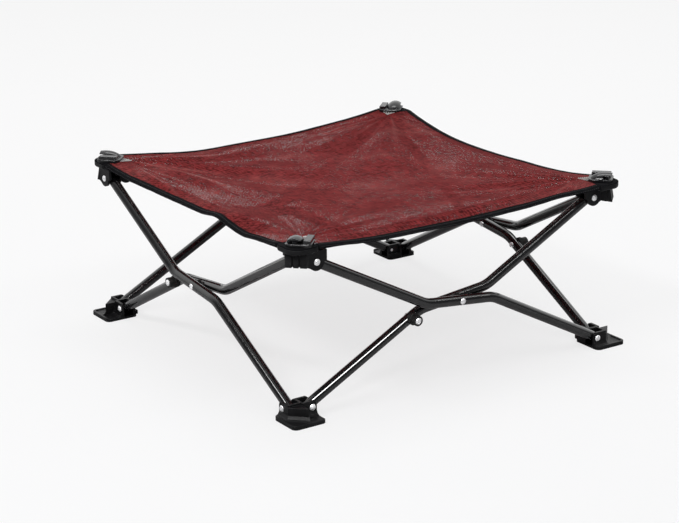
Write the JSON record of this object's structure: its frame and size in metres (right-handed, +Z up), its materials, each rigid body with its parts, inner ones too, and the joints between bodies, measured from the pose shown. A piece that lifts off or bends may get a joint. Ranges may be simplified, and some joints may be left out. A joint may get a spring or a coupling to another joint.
{
  "type": "folding elevated pet cot",
  "caption": "Square raised dog bed: mesh sling hung from corner hubs on a folding scissor frame of bent steel tubes with plastic feet.",
  "frame": {"origin": "on the floor under the middle of the cot", "axes": "+Z up, +X along the front side to its right end, +Y from the front side to the back side"},
  "size_m": [0.6268, 0.6268, 0.2825],
  "materials": {
    "tube_coat": "gloss black powder coat on steel tube",
    "rivet_steel": "bright zinc plated domes",
    "black_plastic": "satin moulded",
    "clip_plastic": "polished moulded",
    "washer_nylon": "black nylon",
    "bumper_rubber": "moulded",
    "screw_steel": "blackened",
    "sling_mesh": "maroon knitted mesh",
    "hem_tape": "black woven binding"
  },
  "bodies": {
    "foot_front_left": {"foot_front_left": "black_plastic", "foot_rivets_front_left": "rivet_steel"},
    "hub_front_left": {"top_hub_front_left": "black_plastic", "hub_rivets_front_left": "rivet_steel", "corner_patch_front_left": "hem_tape", "corner_clip_front_left": "clip_plastic", "clip_screw_front_left": "screw_steel"},
    "outer_leg_front": {"outer_tube_front": "tube_coat", "scissor_rivet_front": "rivet_steel"},
    "inner_leg_front": {"inner_tube_front": "tube_coat", "scissor_washer_front": "washer_nylon", "stop_bumper_front": "bumper_rubber", "bumper_rivet_front": "rivet_steel"},
    "sling_front": {"sling_panel_front": "sling_mesh"},
    "hem_front": {"sling_edge_front": "sling_mesh"},
    "foot_front_right": {"foot_front_right": "black_plastic", "foot_rivets_front_right": "rivet_steel"},
    "hub_front_right": {"top_hub_front_right": "black_plastic", "hub_rivets_front_right": "rivet_steel", "corner_patch_front_right": "hem_tape", "corner_clip_front_right": "clip_plastic", "clip_screw_front_right": "screw_steel"},
    "outer_leg_right": {"outer_tube_right": "tube_coat", "scissor_rivet_right": "rivet_steel"},
    "inner_leg_right": {"inner_tube_right": "tube_coat", "scissor_washer_right": "washer_nylon", "stop_bumper_right": "bumper_rubber", "bumper_rivet_right": "rivet_steel"},
    "sling_right": {"sling_panel_right": "sling_mesh"},
    "hem_right": {"sling_edge_right": "sling_mesh"},
    "foot_back_right": {"foot_back_right": "black_plastic", "foot_rivets_back_right": "rivet_steel"},
    "hub_back_right": {"top_hub_back_right": "black_plastic", "hub_rivets_back_right": "rivet_steel", "corner_patch_back_right": "hem_tape", "corner_clip_back_right": "clip_plastic", "clip_screw_back_right": "screw_steel"},
    "outer_leg_back": {"outer_tube_back": "tube_coat", "scissor_rivet_back": "rivet_steel"},
    "inner_leg_back": {"inner_tube_back": "tube_coat", "scissor_washer_back": "washer_nylon", "stop_bumper_back": "bumper_rubber", "bumper_rivet_back": "rivet_steel"},
    "sling_back": {"sling_panel_back": "sling_mesh"},
    "hem_back": {"sling_edge_back": "sling_mesh"},
    "foot_back_left": {"foot_back_left": "black_plastic", "foot_rivets_back_left": "rivet_steel"},
    "hub_back_left": {"top_hub_back_left": "black_plastic", "hub_rivets_back_left": "rivet_steel", "corner_patch_back_left": "hem_tape", "corner_clip_back_left": "clip_plastic", "clip_screw_back_left": "screw_steel"},
    "outer_leg_left": {"outer_tube_left": "tube_coat", "scissor_rivet_left": "rivet_steel"},
    "inner_leg_left": {"inner_tube_left": "tube_coat", "scissor_washer_left": "washer_nylon", "stop_bumper_left": "bumper_rubber", "bumper_rivet_left": "rivet_steel"},
    "sling_left": {"sling_panel_left": "sling_mesh"},
    "hem_left": {"sling_edge_left": "sling_mesh"}
  },
  "joints": [
    {"name": "fold", "type": "hinge", "parent": "foot_front_left", "child": "inner_leg_front", "pos_m": [-0.264, -0.2734, 0.017], "axis": [0, -1, 0], "range_deg": [0, 56]},
    {"name": "left_outer_leg_at_foot", "type": "hinge", "parent": "foot_front_left", "child": "outer_leg_left", "pos_m": [-0.291, -0.264, 0.017], "axis": [1, 0, 0], "range_deg": [0, 56]},
    {"name": "front_scissor", "type": "hinge", "parent": "inner_leg_front", "child": "outer_leg_front", "pos_m": [0, -0.2822, 0.1305], "axis": [0, 1, 0], "range_deg": [0, 112]},
    {"name": "front_inner_leg_at_hub", "type": "hinge", "parent": "inner_leg_front", "child": "hub_front_right", "pos_m": [0.264, -0.2734, 0.244], "axis": [0, 1, 0], "range_deg": [0, 56]},
    {"name": "front_outer_leg_at_hub", "type": "hinge", "parent": "outer_leg_front", "child": "hub_front_left", "pos_m": [-0.264, -0.291, 0.244], "axis": [0, -1, 0], "range_deg": [0, 56]},
    {"name": "front_outer_leg_at_foot", "type": "hinge", "parent": "outer_leg_front", "child": "foot_front_right", "pos_m": [0.264, -0.291, 0.017], "axis": [0, -1, 0], "range_deg": [0, 56]},
    {"name": "left_outer_leg_at_hub", "type": "hinge", "parent": "outer_leg_left", "child": "hub_back_left", "pos_m": [-0.291, 0.264, 0.244], "axis": [-1, 0, 0], "range_deg": [0, 56]},
    {"name": "left_scissor", "type": "hinge", "parent": "outer_leg_left", "child": "inner_leg_left", "pos_m": [-0.2822, 0, 0.1305], "axis": [-1, 0, 0], "range_deg": [0, 112]},
    {"name": "left_inner_leg_at_foot", "type": "hinge", "parent": "inner_leg_left", "child": "foot_back_left", "pos_m": [-0.2734, 0.264, 0.017], "axis": [1, 0, 0], "range_deg": [0, 56]},
    {"name": "right_outer_leg_at_hub", "type": "hinge", "parent": "hub_front_right", "child": "outer_leg_right", "pos_m": [0.291, -0.264, 0.244], "axis": [-1, 0, 0], "range_deg": [0, 56]},
    {"name": "right_inner_leg_at_foot", "type": "hinge", "parent": "foot_front_right", "child": "inner_leg_right", "pos_m": [0.2734, -0.264, 0.017], "axis": [1, 0, 0], "range_deg": [0, 56]},
    {"name": "right_outer_leg_at_foot", "type": "hinge", "parent": "outer_leg_right", "child": "foot_back_right", "pos_m": [0.291, 0.264, 0.017], "axis": [1, 0, 0], "range_deg": [0, 56]},
    {"name": "right_inner_leg_at_hub", "type": "hinge", "parent": "inner_leg_right", "child": "hub_back_right", "pos_m": [0.2734, 0.264, 0.244], "axis": [-1, 0, 0], "range_deg": [0, 56]},
    {"name": "back_outer_leg_at_hub", "type": "hinge", "parent": "hub_back_right", "child": "outer_leg_back", "pos_m": [0.264, 0.291, 0.244], "axis": [0, -1, 0], "range_deg": [0, 56]},
    {"name": "back_inner_leg_at_foot", "type": "hinge", "parent": "foot_back_right", "child": "inner_leg_back", "pos_m": [0.264, 0.2734, 0.017], "axis": [0, 1, 0], "range_deg": [0, 56]},
    {"name": "front_sling_drop", "type": "hinge", "parent": "hub_front_left", "child": "sling_front", "pos_m": [-0.26, -0.26, 0.26811], "axis": [-1, 0, 0], "range_deg": [0, 73.81], "deforming": ["sling_panel_front"]},
    {"name": "front_hem_lift", "type": "hinge", "parent": "hub_front_left", "child": "hem_front", "pos_m": [-0.26, -0.26, 0.26811], "axis": [-1, 0, 0], "range_deg": [0, 8.01], "deforming": ["sling_edge_front"]},
    {"name": "right_sling_drop", "type": "hinge", "parent": "hub_front_right", "child": "sling_right", "pos_m": [0.26, -0.26, 0.26811], "axis": [0, -1, 0], "range_deg": [0, 73.81], "deforming": ["sling_panel_right"]},
    {"name": "right_hem_lift", "type": "hinge", "parent": "hub_front_right", "child": "hem_right", "pos_m": [0.26, -0.26, 0.26811], "axis": [0, -1, 0], "range_deg": [0, 8.01], "deforming": ["sling_edge_right"]},
    {"name": "back_sling_drop", "type": "hinge", "parent": "hub_back_right", "child": "sling_back", "pos_m": [0.26, 0.26, 0.26811], "axis": [1, 0, 0], "range_deg": [0, 73.81], "deforming": ["sling_panel_back"]},
    {"name": "back_hem_lift", "type": "hinge", "parent": "hub_back_right", "child": "hem_back", "pos_m": [0.26, 0.26, 0.26811], "axis": [1, 0, 0], "range_deg": [0, 8.01], "deforming": ["sling_edge_back"]},
    {"name": "left_sling_drop", "type": "hinge", "parent": "hub_back_left", "child": "sling_left", "pos_m": [-0.26, 0.26, 0.26811], "axis": [0, 1, 0], "range_deg": [0, 73.81], "deforming": ["sling_panel_left"]},
    {"name": "left_hem_lift", "type": "hinge", "parent": "hub_back_left", "child": "hem_left", "pos_m": [-0.26, 0.26, 0.26811], "axis": [0, 1, 0], "range_deg": [0, 8.01], "deforming": ["sling_edge_left"]}
  ],
  "couplings": [
    {"joint": "left_outer_leg_at_foot", "follows": "fold", "ratio": 1},
    {"joint": "front_scissor", "follows": "fold", "ratio": 2},
    {"joint": "front_inner_leg_at_hub", "follows": "fold", "ratio": 1},
    {"joint": "front_outer_leg_at_hub", "follows": "fold", "ratio": 1},
    {"joint": "front_outer_leg_at_foot", "follows": "fold", "ratio": 1},
    {"joint": "left_outer_leg_at_hub", "follows": "fold", "ratio": 1},
    {"joint": "left_scissor", "follows": "fold", "ratio": 2},
    {"joint": "left_inner_leg_at_foot", "follows": "fold", "ratio": 1},
    {"joint": "right_outer_leg_at_hub", "follows": "fold", "ratio": 1},
    {"joint": "right_inner_leg_at_foot", "follows": "fold", "ratio": 1},
    {"joint": "right_outer_leg_at_foot", "follows": "fold", "ratio": 1},
    {"joint": "right_inner_leg_at_hub", "follows": "fold", "ratio": 1},
    {"joint": "back_outer_leg_at_hub", "follows": "fold", "ratio": 1},
    {"joint": "back_inner_leg_at_foot", "follows": "fold", "ratio": 1},
    {"joint": "front_sling_drop", "follows": "fold", "ratio": 1.3179},
    {"joint": "front_hem_lift", "follows": "fold", "ratio": 0.14286},
    {"joint": "right_sling_drop", "follows": "fold", "ratio": 1.3179},
    {"joint": "right_hem_lift", "follows": "fold", "ratio": 0.14286},
    {"joint": "back_sling_drop", "follows": "fold", "ratio": 1.3179},
    {"joint": "back_hem_lift", "follows": "fold", "ratio": 0.14286},
    {"joint": "left_sling_drop", "follows": "fold", "ratio": 1.3179},
    {"joint": "left_hem_lift", "follows": "fold", "ratio": 0.14286}
  ]
}
